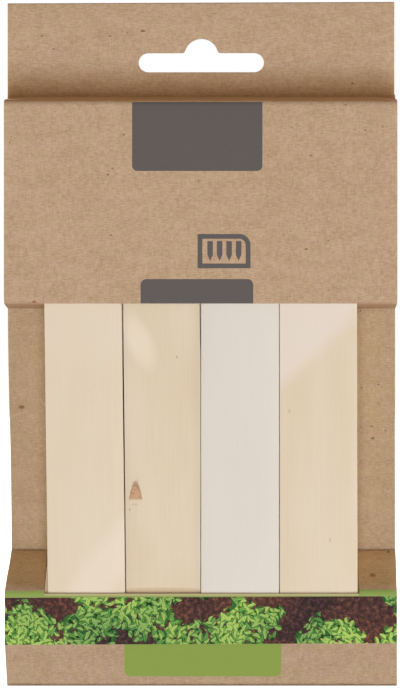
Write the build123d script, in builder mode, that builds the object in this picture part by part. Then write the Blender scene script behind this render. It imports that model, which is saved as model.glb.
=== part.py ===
# Hang pack of wooden plant labels: a folded kraft board wrap round a block of loose labels.
# The origin is the middle of the base, +Z is up, and the front of the pack faces -Y.
from build123d import *
import os

# Wooden labels
label_length = 150.0
label_width = 20.0
label_thickness = 2.0
tip_length = 22.0
tip_width = 3.0
label_top_radius = 1.0
label_columns = 4
label_layers = 6
column_gap = 0.4
layer_gap = 0.05

# Board wrap
board = 0.5
pack_width = 103.0
front_headroom = 1.2
top_panel_drop = 2.7
header_height = 25.1
upper_front_height = 52.6
upper_tab_drop = 1.1
lower_front_height = 24.5
lower_tab_rise = 9.8
tab_side_gap = 0.5
tab_end_gap = 0.7
header_edge_share = 0.8

# Hang slot, a bar with a dome for a single hook
slot_width = 33.4
slot_bar_height = 5.2
slot_dome_radius = 4.5
slot_dome_rise = 3.8
slot_fillet = 0.9
slot_foot = 6.4

# The label block and what it needs
block_width = label_columns * label_width + (label_columns - 1) * column_gap
inner_depth = label_layers * label_thickness + (label_layers + 1) * layer_gap
pack_depth = inner_depth + 2 * board
back_y = pack_depth / 2
front_y = -pack_depth / 2
tab_start = block_width / 2 + tab_side_gap
tab_width = pack_width / 2 - tab_start

# Heights, from the floor that the labels stand on
label_top = board + label_length
front_crease = label_top + front_headroom + board
header_foot = front_crease + top_panel_drop
header_top = header_foot + header_height
upper_front_foot = front_crease - upper_front_height
tab_end_y = back_y - board - tab_end_gap

# Outer corners of the folded strip, as (Y, Z): front layer of the header down to the upper tabs
header_front_end = Vector(back_y - 2 * board, header_top)
header_crease_corner = Vector(back_y - 2 * board, header_foot)
front_top_corner = Vector(front_y, front_crease)
front_foot_corner = Vector(front_y, upper_front_foot)
upper_tab_corner = Vector(tab_end_y, upper_front_foot - upper_tab_drop)

# Outer corners from the lower tabs down the pocket, under the base and up the back
lower_tab_corner = Vector(tab_end_y, lower_front_height + lower_tab_rise)
pocket_top_corner = Vector(front_y, lower_front_height)
base_front_corner = Vector(front_y, 0)
base_back_corner = Vector(back_y, 0)
back_top_corner = Vector(back_y, header_foot)
header_back_end = Vector(back_y, header_top)


def board_normal(start, end):
    """The direction from a panel's outer face to its inner face."""
    return (end - start).normalized().rotate(Axis.Z, 90)


def inner_corner(before, corner, after):
    """The corner on the inner face of a fold, where both panels are mitred."""
    first = board_normal(before, corner)
    second = board_normal(corner, after)
    return corner + (first + second) * (board / (1 + first.dot(second)))


def inner_end(start, end, at_start):
    """The inner corner of a panel's free end, cut square."""
    corner = start if at_start else end
    return corner + board_normal(start, end) * board


# Inner corners of the same two strips
header_front_end_in = inner_end(header_front_end, header_crease_corner, True)
header_crease_in = inner_corner(header_front_end, header_crease_corner, front_top_corner)
front_top_in = inner_corner(header_crease_corner, front_top_corner, front_foot_corner)
front_foot_in = inner_corner(front_top_corner, front_foot_corner, upper_tab_corner)
upper_tab_in = inner_end(front_foot_corner, upper_tab_corner, False)
lower_tab_in = inner_end(lower_tab_corner, pocket_top_corner, True)
pocket_top_in = inner_corner(lower_tab_corner, pocket_top_corner, base_front_corner)
base_front_in = inner_corner(pocket_top_corner, base_front_corner, base_back_corner)
base_back_in = inner_corner(base_front_corner, base_back_corner, back_top_corner)
back_top_in = inner_end(base_back_corner, back_top_corner, False)
header_back_end_in = inner_end(back_top_corner, header_back_end, False)

# Hang slot, cut through both layers of the header
slot_bar_z = header_foot + slot_foot + slot_bar_height / 2
dome_z = slot_bar_z + slot_bar_height / 2 + slot_dome_rise - slot_dome_radius
with BuildSketch(Plane.XZ) as hang_slot:
    with Locations((0, slot_bar_z)):
        SlotOverall(slot_width, slot_bar_height)
    with Locations((0, dome_z)):
        Circle(slot_dome_radius)
    neck = hang_slot.vertices().filter_by(lambda v: v.Y > slot_bar_z and abs(v.X) < slot_dome_radius)
    fillet(neck, radius=slot_fillet)

# Back panel, one sheet with the header's rear layer above it
with BuildPart() as back_panel:
    with BuildSketch(Plane.YZ):
        with BuildLine():
            Polyline(base_back_corner, back_top_corner, back_top_in, base_back_in, close=True)
        make_face()
    extrude(amount=pack_width / 2, both=True)

# Rear layer of the hang header, its top edge rounded by the fold
with BuildPart() as header_back:
    with BuildSketch(Plane.YZ):
        with BuildLine():
            Polyline(back_top_corner, header_back_end, header_back_end_in, back_top_in, close=True)
        make_face()
    extrude(amount=pack_width / 2, both=True)
    top_edges = header_back.edges().filter_by(Axis.X).group_by(Axis.Z)[-1]
    fillet(top_edges.sort_by(Axis.Y)[-1], radius=board * header_edge_share)
    extrude(hang_slot.sketch, amount=pack_depth, both=True, mode=Mode.SUBTRACT)

# Front layer of the hang header, folded over the top and glued to the rear layer
with BuildPart() as header_front:
    with BuildSketch(Plane.YZ):
        with BuildLine():
            Polyline(
                header_front_end, header_crease_corner, header_crease_in, header_front_end_in, close=True
            )
        make_face()
    extrude(amount=pack_width / 2, both=True)
    top_edges = header_front.edges().filter_by(Axis.X).group_by(Axis.Z)[-1]
    fillet(top_edges.sort_by(Axis.Y)[0], radius=board * header_edge_share)
    extrude(hang_slot.sketch, amount=pack_depth, both=True, mode=Mode.SUBTRACT)

# Bottom panel, which the label tips stand on
with BuildPart() as bottom_panel:
    with BuildSketch(Plane.YZ):
        with BuildLine():
            Polyline(base_front_corner, base_back_corner, base_back_in, base_front_in, close=True)
        make_face()
    extrude(amount=pack_width / 2, both=True)

# Sloping top panel, from the header's foot forward over the label tops
with BuildPart() as top_panel:
    with BuildSketch(Plane.YZ):
        with BuildLine():
            Polyline(header_crease_corner, front_top_corner, front_top_in, header_crease_in, close=True)
        make_face()
    extrude(amount=pack_width / 2, both=True)

# Upper front panel, over the upper third of the labels
with BuildPart() as upper_front_panel:
    with BuildSketch(Plane.YZ):
        with BuildLine():
            Polyline(front_top_corner, front_foot_corner, front_foot_in, front_top_in, close=True)
        make_face()
    extrude(amount=pack_width / 2, both=True)

# Pocket panel, in front of the label tips
with BuildPart() as lower_front_panel:
    with BuildSketch(Plane.YZ):
        with BuildLine():
            Polyline(pocket_top_corner, base_front_corner, base_front_in, pocket_top_in, close=True)
        make_face()
    extrude(amount=pack_width / 2, both=True)

# Upper tabs, folded in under the upper front panel on each side of the labels
with BuildPart() as upper_left_tab:
    with BuildSketch(Plane.YZ.offset(-pack_width / 2)):
        with BuildLine():
            Polyline(front_foot_corner, upper_tab_corner, upper_tab_in, front_foot_in, close=True)
        make_face()
    extrude(amount=tab_width)
with BuildPart() as upper_right_tab:
    mirror(upper_left_tab.part, about=Plane.YZ)

# Lower tabs, folded in and up from the pocket's top edge on each side of the labels
with BuildPart() as lower_left_tab:
    with BuildSketch(Plane.YZ.offset(-pack_width / 2)):
        with BuildLine():
            Polyline(lower_tab_corner, pocket_top_corner, pocket_top_in, lower_tab_in, close=True)
        make_face()
    extrude(amount=tab_width)
with BuildPart() as lower_right_tab:
    mirror(lower_left_tab.part, about=Plane.YZ)

board_pieces = {
    "back_panel": back_panel,
    "header_back": header_back,
    "header_front": header_front,
    "bottom_panel": bottom_panel,
    "top_panel": top_panel,
    "upper_front_panel": upper_front_panel,
    "lower_front_panel": lower_front_panel,
    "upper_left_tab": upper_left_tab,
    "upper_right_tab": upper_right_tab,
    "lower_left_tab": lower_left_tab,
    "lower_right_tab": lower_right_tab,
}

os.makedirs("parts", exist_ok=True)
for name, piece in board_pieces.items():
    piece.part.label = name
    export_step(piece.part, f"parts/{name}.step")

# Labels, pointed at the foot, in layers from the front and columns from the left
shoulder_z = board + tip_length
for layer in range(label_layers):
    layer_y = front_y + board + layer_gap + layer * (label_thickness + layer_gap)
    for column in range(label_columns):
        middle = (column - (label_columns - 1) / 2) * (label_width + column_gap)
        left = middle - label_width / 2
        right = middle + label_width / 2
        with BuildPart() as wooden_label:
            with BuildSketch(Plane.XZ.offset(-layer_y)):
                with BuildLine():
                    Polyline(
                        (middle - tip_width / 2, board),
                        (middle + tip_width / 2, board),
                        (right, shoulder_z),
                        (right, label_top),
                        (left, label_top),
                        (left, shoulder_z),
                        close=True,
                    )
                make_face()
            extrude(amount=-label_thickness)
            top_corners = wooden_label.edges().filter_by(Axis.Y).group_by(Axis.Z)[-1]
            fillet(top_corners, radius=label_top_radius)
        wooden_label.part.label = f"label_{layer + 1}_{column + 1}"
        export_step(wooden_label.part, f"parts/{wooden_label.part.label}.step")
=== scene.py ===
import math
import random

import bmesh
import bpy
from mathutils import Matrix, Vector, noise


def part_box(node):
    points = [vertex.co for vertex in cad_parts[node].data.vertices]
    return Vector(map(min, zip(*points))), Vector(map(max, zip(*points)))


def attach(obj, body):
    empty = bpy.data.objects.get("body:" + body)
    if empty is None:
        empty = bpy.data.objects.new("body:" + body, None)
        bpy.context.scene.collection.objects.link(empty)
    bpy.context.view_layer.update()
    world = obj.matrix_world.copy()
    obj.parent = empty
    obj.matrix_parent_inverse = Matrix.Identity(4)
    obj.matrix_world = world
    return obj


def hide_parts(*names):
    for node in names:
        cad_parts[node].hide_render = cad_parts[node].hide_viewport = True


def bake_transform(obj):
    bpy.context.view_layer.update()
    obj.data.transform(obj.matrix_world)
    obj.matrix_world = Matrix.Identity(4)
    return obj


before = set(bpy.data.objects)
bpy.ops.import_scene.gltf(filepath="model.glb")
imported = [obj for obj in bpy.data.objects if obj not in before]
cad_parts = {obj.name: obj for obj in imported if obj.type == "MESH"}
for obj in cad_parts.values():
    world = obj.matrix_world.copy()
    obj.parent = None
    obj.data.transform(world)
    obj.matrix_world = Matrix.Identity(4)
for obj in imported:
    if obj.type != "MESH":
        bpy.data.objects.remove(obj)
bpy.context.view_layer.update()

# Hang header, back and base
# One blank of 0.5 mm uncoated kraft board makes the whole wrap. Its header is folded over at the top
# and glued double, and the same sheet runs down behind the labels and under their tips.
MM = 0.001
back_low, back_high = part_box("back_panel")
header_low, header_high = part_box("header_back")
SHEET_SHARE = 0.98
BOARD = (back_high.y - back_low.y) * SHEET_SHARE
BACK_Y = back_high.y
FRONT_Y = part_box("bottom_panel")[0].y
HALF_WIDTH = back_high.x
HEADER_FRONT_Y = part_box("header_front")[0].y
HEADER_FOOT = header_low.z
HEADER_TOP = header_high.z
HEADER_SEAM = HEADER_FOOT + 0.4 * MM
BASE_SEAM = FRONT_Y + 1.6 * MM
FOLD_RADIUS = 0.75 * MM
TOP_FOLD_RADIUS = (BACK_Y - HEADER_FRONT_Y) / 2
ROW_STEP = 6 * MM
COLUMN_STEP = 5 * MM
TAB_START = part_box("upper_right_tab")[0].x
KRAFT = "#BCA38A"
KRAFT_LIGHT = "#C7B099"
KRAFT_DARK = "#AD9379"
KRAFT_FIBRE = "#8E6D4A"
KRAFT_SPECK = "#6E4A30"
KRAFT_PINK = "#FFFCFC"
KRAFT_YELLOW = "#FCFDF5"
INSIDE_PAINTED_SHADE = "#EFF0EC"
TAB_PAINTED_SHADE = "#E2D9CF"
# Painted shade along the crease at the header's foot
CREASE_PAINTED_SHADE = "#F4DFC4"
BARK_DARK = "#5E4330"
BARK_RED = "#9A552C"

# Larger bark specks of this blank: place, half width and half height in mm, and colour
BARK_SPECKS = (
    (-24.4, -6.7, 133.2, 0.34, 0.22, BARK_DARK),
    (-23.2, -6.7, 134.8, 0.26, 0.2, BARK_DARK),
    (-43.6, -6.2, 100.0, 0.56, 0.42, BARK_RED),
    (-23.6, -6.7, 117.4, 0.3, 0.2, BARK_DARK),
    (-20.2, -6.7, 143.6, 0.3, 0.2, BARK_DARK),
    (-49.9, -6.7, 141.5, 0.22, 0.22, BARK_DARK),
    (37.6, -6.7, 151.4, 0.3, 0.2, BARK_DARK),
    (40.1, 5.7, 158.3, 0.34, 0.22, BARK_DARK),
    (-42.4, 5.7, 170.9, 0.3, 0.2, BARK_DARK),
    (-39.3, 5.7, 167.4, 0.3, 0.2, BARK_DARK),
    (-24.3, 5.7, 170.9, 0.3, 0.2, BARK_DARK),
    (-15.5, 5.7, 172.2, 0.66, 0.24, BARK_DARK),
    (-47.8, 6.2, 72.3, 0.85, 0.5, "#775940"),
    (45.2, 6.2, 67.2, 0.6, 0.22, "#8A6344"),
    (45.5, 6.2, 64.0, 0.42, 0.26, BARK_DARK),
    (48.9, 6.2, 66.0, 0.26, 0.2, BARK_DARK),
    (47.0, 6.2, 78.3, 0.26, 0.18, BARK_DARK),
    (49.6, 5.1, 33.9, 0.4, 0.3, BARK_DARK),
    (44.9, -1.9, 28.5, 0.8, 0.6, "#8A5E38"),
)
BOARD_CORE = "#C9B190"
CORE_LAYER = 0.35 * MM
# Painted shade: the kraft is darkened towards the base, to this share at the foot, fading out at this
# height
LOW_PAINTED_SHADE = 0.88
LOW_PAINTED_SHADE_END = 110 * MM
# Painted shade along the crease at the header's foot: none at the first height, full from the second down
# to the third, none again at the fourth, below the fold
CREASE_SHADE_HIGH = 163 * MM
CREASE_SHADE_FULL = 155 * MM
CREASE_SHADE_LOW = 152.6 * MM
CREASE_SHADE_FOOT = 152.0 * MM
UNCOATED_ROUGHNESS = 0.85
TAB_ROUGHNESS = 0.88
CUT_ROUGHNESS = 0.9
UNCOATED_SPECULAR = 0.1
FIBRE_RELIEF = 0.05 * MM
FIBRE_BUMP = 0.4

# Sizes of the board's patterns in mm, along X, Y and Z
FIBRE_STREAK = (1.4, 0.28, 0.28)
FELT_WEAVE = (0.36, 0.36, 1.5)
MOTTLE = (6, 2.5, 2.5)
TINT_PATCH = (3.6, 2.4, 2.4)
DARK_FIBRE = (1.3, 0.3, 0.3)

# How strongly the weave, the slow mottle and the dark fibres show
WEAVE_SHARE = 0.3
MOTTLE_SHARE = 0.16
FIBRE_DARKNESS = 0.34

# Fine specks: cell size in mm, the share of cells with none, radius in cells, and how dark they are
FINE_SPECKS = ((1.7, 0.5, 0.1, 0.34), (3.4, 0.45, 0.07, 0.75), (10, 0.6, 0.036, 0.75))

# Specks are drawn out along the fibres and soft at the rim, and the bark is this dark
SPECK_STRETCH = 1.4
SPECK_SOFTNESS = 0.012
BARK_DARKNESS = 0.8

# How two colours are mixed: one laid over the other, or multiplied, which lays on tints and painted shades
COLOURS = {"data_type": "RGBA"}
TINT_AND_SHADE = {"data_type": "RGBA", "blend_type": "MULTIPLY"}


def mm(*sizes):
    """Sizes that are given in millimetres, in metres."""
    return tuple(size * MM for size in sizes)


def linear(code):
    """An sRGB hex colour as linear RGBA."""
    shares = [int(code[i : i + 2], 16) / 255 for i in (1, 3, 5)]
    return [c / 12.92 if c <= 0.04045 else ((c + 0.055) / 1.055) ** 2.4 for c in shares] + [1.0]


def add(tree, kind, inputs=(), **settings):
    """A node of a kind, named without its ShaderNode prefix, with its settings, values and links. A link
    comes from a socket, or from the first output that a node shows."""
    made = tree.nodes.new(kind if kind.startswith(("Geometry", "NodeGroup")) else f"ShaderNode{kind}")
    for name, value in settings.items():
        setattr(made, name, value)
    for name, value in inputs.items() if isinstance(inputs, dict) else enumerate(inputs):
        if isinstance(name, int):
            socket = made.inputs[name]
        else:
            socket = next(s for s in made.inputs if s.name == name and s.enabled)
        if isinstance(value, bpy.types.Node):
            value = next(s for s in value.outputs if s.enabled)
        if isinstance(value, bpy.types.NodeSocket):
            tree.links.new(value, socket)
        else:
            socket.default_value = value
    return made


def start_material(name, roughness, specular):
    """An empty material with its shader and output."""
    material = bpy.data.materials.new(name)
    material.use_nodes = True
    tree = material.node_tree
    tree.nodes.clear()
    shader = add(tree, "BsdfPrincipled", {"Roughness": roughness, "Specular IOR Level": specular})
    add(tree, "OutputMaterial", {"Surface": shader})
    return material, tree, shader


def blank_place(tree):
    """Where a point lies on the closed pack, kept as an attribute so that print stays on a moved panel."""
    return add(tree, "Attribute", attribute_name="blank_place").outputs["Vector"]


def stretched(tree, place, x, y, z):
    """The place divided by a feature's size along X, Y and Z."""
    return add(tree, "VectorMath", [place, (1 / x, 1 / y, 1 / z)], operation="MULTIPLY")


def pattern(tree, kind, place, size, **values):
    """A texture whose features have that size in mm along X, Y and Z."""
    return add(tree, kind, {"Vector": stretched(tree, place, *mm(*size)), "Scale": 1.0, **values})


def ramp(tree, share, stops):
    """Colours at positions, as (position, hex colour)."""
    made = add(tree, "ValToRGB", {"Fac": share})
    elements = made.color_ramp.elements
    while len(elements) > 1:
        elements.remove(elements[-1])
    elements[0].position = stops[0][0]
    elements[0].color = linear(stops[0][1])
    for position, code in stops[1:]:
        elements.new(position).color = linear(code)
    return made


def with_painted_shade(tree, colour, code, share):
    """The colour under a painted shade that is laid on as far as the share says."""
    stain = add(tree, "Mix", {"Factor": share, "A": (1, 1, 1, 1), "B": linear(code)}, **COLOURS)
    return add(tree, "Mix", {"Factor": 1.0, "A": colour, "B": stain}, **TINT_AND_SHADE)


def kraft_colour(tree, place, outside=True):
    """Fine fibres across the pack, the felt's faint weave, slow tints, crisp specks of bark, a painted
    shade that darkens the board towards the base, and on the outside a warmer, darker painted shade along
    the crease at the header's foot."""
    streak = pattern(tree, "TexNoise", place, FIBRE_STREAK, Detail=3.0, Roughness=0.65)
    weave = pattern(tree, "TexNoise", place, FELT_WEAVE, Detail=2.0)
    mottle = pattern(tree, "TexNoise", place, MOTTLE, Detail=2.0)
    both = add(tree, "Mix", {"Factor": WEAVE_SHARE, "A": streak, "B": weave})
    both = add(tree, "Mix", {"Factor": MOTTLE_SHARE, "A": both, "B": mottle})
    tone = ramp(tree, both, [(0.38, KRAFT_DARK), (0.5, KRAFT), (0.62, KRAFT_LIGHT)])
    patch = pattern(tree, "TexNoise", place, TINT_PATCH, Detail=1.0)
    tint = ramp(tree, patch, [(0.36, KRAFT_PINK), (0.64, KRAFT_YELLOW)])
    tone = add(tree, "Mix", {"Factor": 1.0, "A": tone, "B": tint}, **TINT_AND_SHADE)
    fibre = pattern(tree, "TexVoronoi", place, DARK_FIBRE)
    fibre_share = add(
        tree, "MapRange", {"Value": fibre, "From Min": 0.22, "From Max": 0.1, "To Max": FIBRE_DARKNESS}
    )
    specked = add(tree, "Mix", {"Factor": fibre_share, "A": tone, "B": linear(KRAFT_FIBRE)}, **COLOURS)
    for size, rarity, radius, depth in FINE_SPECKS:
        speck = pattern(tree, "TexVoronoi", place, (size * SPECK_STRETCH, size, size))
        draw = add(tree, "SeparateColor", {"Color": speck.outputs["Color"]})
        reach = add(
            tree, "MapRange", {"Value": draw, "From Min": rarity, "From Max": 1.0, "To Max": radius}
        )
        inside = add(tree, "Math", [reach, speck.outputs["Distance"]], operation="SUBTRACT")
        share = add(tree, "MapRange", {"Value": inside, "From Max": SPECK_SOFTNESS, "To Max": depth})
        specked = add(tree, "Mix", {"Factor": share, "A": specked, "B": linear(KRAFT_SPECK)}, **COLOURS)
    for x, y, z, half_width, half_height, code in BARK_SPECKS:
        away = add(tree, "VectorMath", [place, mm(x, y, z)], operation="SUBTRACT")
        away = stretched(tree, away, *mm(half_width, half_width, half_height))
        far = add(tree, "VectorMath", [away], operation="LENGTH")
        share = add(
            tree, "MapRange", {"Value": far, "From Min": 1.3, "From Max": 0.6, "To Max": BARK_DARKNESS}
        )
        specked = add(tree, "Mix", {"Factor": share, "A": specked, "B": linear(code)}, **COLOURS)
    parts = add(tree, "SeparateXYZ", {"Vector": place})
    height = parts.outputs["Z"]
    # Painted shade: darker towards the base
    shade = add(
        tree, "MapRange",
        {"Value": height, "From Max": LOW_PAINTED_SHADE_END, "To Min": LOW_PAINTED_SHADE, "To Max": 1.0},
    )
    shaded = add(tree, "Mix", {"Factor": 1.0, "A": specked, "B": shade}, **TINT_AND_SHADE)
    if not outside:
        return shaded, streak
    # Painted shade: warmer and darker along the crease at the header's foot, on the outside only
    crease_shade = add(
        tree, "MapRange", {"Value": height, "From Min": CREASE_SHADE_HIGH, "From Max": CREASE_SHADE_FULL}
    )
    over_fold = add(
        tree, "MapRange", {"Value": height, "From Min": CREASE_SHADE_FOOT, "From Max": CREASE_SHADE_LOW}
    )
    on_front = add(
        tree, "MapRange",
        {"Value": parts.outputs["Y"], "From Min": BACK_Y - 0.2 * MM, "From Max": BACK_Y - 0.6 * MM},
    )
    crease_shade = add(tree, "Math", [crease_shade, over_fold], operation="MULTIPLY")
    crease_shade = add(tree, "Math", [crease_shade, on_front], operation="MULTIPLY")
    return with_painted_shade(tree, shaded, CREASE_PAINTED_SHADE, crease_shade), streak


def finish_board(tree, shader, colour, height):
    """Matt board whose fibres stand a few hundredths of a millimetre proud."""
    bump = add(tree, "Bump", {"Height": height, "Strength": FIBRE_BUMP, "Distance": FIBRE_RELIEF})
    tree.links.new(next(s for s in colour.outputs if s.enabled), shader.inputs["Base Color"])
    tree.links.new(bump.outputs["Normal"], shader.inputs["Normal"])


def plain_kraft(name, tint, outside):
    """Uncoated kraft liner, pressed but not coated: matt, with its long fibres seen."""
    material, tree, shader = start_material(name, UNCOATED_ROUGHNESS, UNCOATED_SPECULAR)
    colour, height = kraft_colour(tree, blank_place(tree), outside)
    tinted = add(tree, "Mix", {"Factor": 1.0, "A": colour, "B": linear(tint)}, **TINT_AND_SHADE)
    finish_board(tree, shader, tinted, height)
    return material


def cut_kraft():
    """The die-cut rim, where the crushed core of the board shows paler, in fine layers."""
    material, tree, shader = start_material("kraft_board_die_cut", CUT_ROUGHNESS, UNCOATED_SPECULAR)
    core = add(tree, "TexNoise", {"Vector": blank_place(tree), "Scale": 1 / CORE_LAYER, "Detail": 3.0})
    colour = ramp(tree, core, [(0.3, KRAFT_FIBRE), (0.6, BOARD_CORE)])
    finish_board(tree, shader, colour, core)
    return material


def tab_kraft():
    """The upper tabs' kraft, with a painted shade that makes it a little darker from the fold inwards."""
    material, tree, shader = start_material("kraft_board_shaded_tab", TAB_ROUGHNESS, UNCOATED_SPECULAR)
    place = blank_place(tree)
    colour, height = kraft_colour(tree, place)
    parts = add(tree, "SeparateXYZ", {"Vector": place})
    # Painted shade, from the fold inwards
    share = add(
        tree, "MapRange",
        {"Value": parts.outputs["Y"], "From Min": FRONT_Y + 0.1 * MM, "From Max": FRONT_Y + 2.6 * MM},
    )
    finish_board(tree, shader, with_painted_shade(tree, colour, TAB_PAINTED_SHADE, share), height)
    return material


kraft_uncoated = plain_kraft("kraft_board_uncoated", "#FFFFFF", True)
# The inside faces are painted darker and greyer: painted shade for the recesses beside the labels
kraft_inside = plain_kraft("kraft_board_inside", INSIDE_PAINTED_SHADE, False)
kraft_cut = cut_kraft()


# Folds: degrees between rows, how near two rows are one, and how near a seam a place is on it.
# Edges: how far a cut edge is eased, the angle that makes it a cut edge, and where shading turns sharp.
FOLD_STEP = 11
SAME_PLACE = 0.001 * MM
SEAM_SLACK = 0.04 * MM
EDGE_EASE = 0.06 * MM
CUT_EDGE_ANGLE = math.radians(50)
SMOOTH_ANGLE = math.radians(40)


def fold_rows(corners, radii):
    """The outer face of a folded sheet in YZ, as (point, inward direction), with round folds."""
    points = [Vector(c) for c in corners]
    rows = []

    def run(start, end):
        inward = (end - start).normalized().orthogonal()
        count = max(1, math.ceil((end - start).length / ROW_STEP))
        for k in range(count + 1):
            rows.append((start.lerp(end, k / count), inward))

    leave = points[0]
    for before, corner, after, radius in zip(points, points[1:], points[2:], radii):
        into = (corner - before).normalized()
        out = (after - corner).normalized()
        turn = math.atan2(into.cross(out), into.dot(out))
        reach = radius * math.tan(abs(turn) / 2)
        run(leave, corner - into * reach)
        hand = math.copysign(radius, turn)
        centre = corner - into * reach + into.orthogonal() * hand
        steps = max(1, math.ceil(abs(math.degrees(turn)) / FOLD_STEP))
        for k in range(1, steps):
            inward = Matrix.Rotation(turn * k / steps, 2) @ into.orthogonal()
            rows.append((centre - inward * hand, inward))
        leave = corner + out * reach
    run(leave, points[-1])
    kept = rows[:1]
    for row in rows[1:]:
        if (row[0] - kept[-1][0]).length > SAME_PLACE:
            kept.append(row)
    return kept


def board_columns(low, high, breaks=()):
    """X places across a sheet, evenly spaced between its edges and its slits."""
    stops = [low, *[b for b in breaks if low < b < high], high]
    places = [low]
    for start, end in zip(stops, stops[1:]):
        count = max(1, math.ceil((end - start) / COLUMN_STEP))
        places += [start + (end - start) * k / count for k in range(1, count + 1)]
    return places


def new_object(name, data):
    """A new object for a mesh, a lamp or a camera, linked to the scene."""
    made = bpy.data.objects.new(name, data)
    bpy.context.scene.collection.objects.link(made)
    return made


def outward_mesh(name, made):
    """A mesh of what was made, with its faces turned outwards."""
    bmesh.ops.recalc_face_normals(made, faces=made.faces)
    mesh = bpy.data.meshes.new(name)
    made.to_mesh(mesh)
    made.free()
    return mesh


def board_sheet(name, rows, columns, outer, present=lambda point, x: True, shape=None):
    """A sheet object of board thickness over the rows and columns, whose faces all point outwards."""
    made = bmesh.new()
    skins = []
    for depth in (0, BOARD):
        skins.append(
            [[made.verts.new((x, *(point + inward * depth))) for x in columns] for point, inward in rows]
        )
    cells = dict.fromkeys(
        (i, j)
        for i in range(len(rows) - 1)
        for j in range(len(columns) - 1)
        if present((rows[i][0] + rows[i + 1][0]) / 2, (columns[j] + columns[j + 1]) / 2)
    )
    for i, j in cells:
        around = [(i, j), (i + 1, j), (i + 1, j + 1), (i, j + 1)]
        for kind, skin in enumerate(skins):
            face = made.faces.new([skin[a][b] for a, b in around])
            face.material_index = kind
        beside = [(i, j - 1), (i + 1, j), (i, j + 1), (i - 1, j)]
        for (a, b), (c, d), other in zip(around, around[1:] + around[:1], beside):
            if other not in cells:
                wall = [skins[0][a][b], skins[0][c][d], skins[1][c][d], skins[1][a][b]]
                made.faces.new(wall).material_index = 2
    loose = [v for v in made.verts if not v.link_faces]
    bmesh.ops.delete(made, geom=loose, context="VERTS")
    mesh = outward_mesh(name, made)
    for material in (outer, kraft_inside, kraft_cut):
        mesh.materials.append(material)
    if shape:
        for vertex in mesh.vertices:
            vertex.co = shape(vertex.co)
    return new_object(name, mesh)


def apply_modifiers(item):
    """Turns an object and its modifiers into a plain mesh."""
    graph = bpy.context.evaluated_depsgraph_get()
    mesh = bpy.data.meshes.new_from_object(item.evaluated_get(graph))
    item.modifiers.clear()
    item.data = mesh


def near(value, other):
    """Whether two places are within the thickness of a fold line."""
    return abs(value - other) < SEAM_SLACK


def finish_sheet(sheet, runs_on):
    """Eases the cut edges, but not where the sheet runs on into the next one, and smooths the folds."""
    made = bmesh.new()
    made.from_mesh(sheet.data)
    cut_edges = [
        edge
        for edge in made.edges
        if edge.calc_face_angle(0) > CUT_EDGE_ANGLE and not all(runs_on(v.co) for v in edge.verts)
    ]
    bmesh.ops.bevel(
        made, geom=cut_edges, offset=EDGE_EASE, segments=2, profile=0.5, affect="EDGES",
        clamp_overlap=True,
    )
    made.to_mesh(sheet.data)
    made.free()
    sheet.data.shade_smooth()
    sheet.data.set_sharp_from_angle(angle=SMOOTH_ANGLE)
    places = sheet.data.attributes.new("blank_place", "FLOAT_VECTOR", "POINT")
    for vertex, place in zip(sheet.data.vertices, places.data):
        place.vector = vertex.co


def between(value, low, high):
    """How far value is from low to high, eased and held at the ends."""
    share = min(1, max(0, (value - low) / (high - low)))
    return share * share * (3 - 2 * share)


# The blank was cut and folded a little out of square, so its edges lean
BACK_LEFT_FOOT = 1.0 * MM
BACK_NARROWS = mm(100, 36)
BASE_LEFT_OUT = 0.15 * MM
BASE_HEIGHTS = mm(1.5, 0.6)
HEADER_RIGHT = 0.25 * MM
HEADER_HEIGHTS = mm(150, 156)
HEADER_TILT = 0.4 * MM
SIDE_EDGE = 0.99
EDGE_WAVE = 0.05 * MM
EDGE_WAVE_LENGTH = 14 * MM
POCKET_RIGHT = 0.55 * MM
BASE_BACK = HEADER_FRONT_Y - 0.2 * MM


def wavy_edge(x, z, side, sheet):
    """X moved in by the sheet's own slight wave, where it is on a side edge."""
    if side <= SIDE_EDGE:
        return x
    wave = 0.5 + 0.5 * noise.noise((x * 1000, z / EDGE_WAVE_LENGTH, sheet))
    return x - math.copysign(EDGE_WAVE, x) * wave


def backing_shape(place):
    """The back narrows to the lower left, and the header stands slightly out of level."""
    x, y, z = place
    side = abs(x) / HALF_WIDTH
    on_base = between(z, *BASE_HEIGHTS) * between(y, BASE_BACK, FRONT_Y)
    if x < 0:
        x += side * (BACK_LEFT_FOOT * between(z, *BACK_NARROWS) - BASE_LEFT_OUT * on_base)
    else:
        x -= side * (HEADER_RIGHT * between(z, *HEADER_HEIGHTS) + POCKET_RIGHT * on_base)
    x = wavy_edge(x, z, side, 0)
    tilt = HEADER_TILT * (0.5 - x / HALF_WIDTH / 2)
    z -= tilt * min(1, max(0, (z - HEADER_FOOT) / (HEADER_TOP - HEADER_FOOT)))
    return x, y, z


backing = board_sheet(
    "backing_board",
    fold_rows(
        [(BASE_SEAM, 0), (BACK_Y, 0), (BACK_Y, HEADER_TOP), (HEADER_FRONT_Y, HEADER_TOP),
         (HEADER_FRONT_Y, HEADER_SEAM)],
        [FOLD_RADIUS, TOP_FOLD_RADIUS, TOP_FOLD_RADIUS],
    ),
    board_columns(-HALF_WIDTH, HALF_WIDTH), kraft_uncoated, shape=backing_shape,
)

SLOT_HALF = 16.7 * MM
SLOT_LOW = 161.3 * MM
SLOT_HIGH = 166.5 * MM
DOME_Z = 165.8 * MM
DOME_RADIUS = 4.5 * MM
NECK_RADIUS = 0.9 * MM
ARC_STEPS = 12
NECK_STEPS = 6
PUNCH_REACH = 1 * MM


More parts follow.
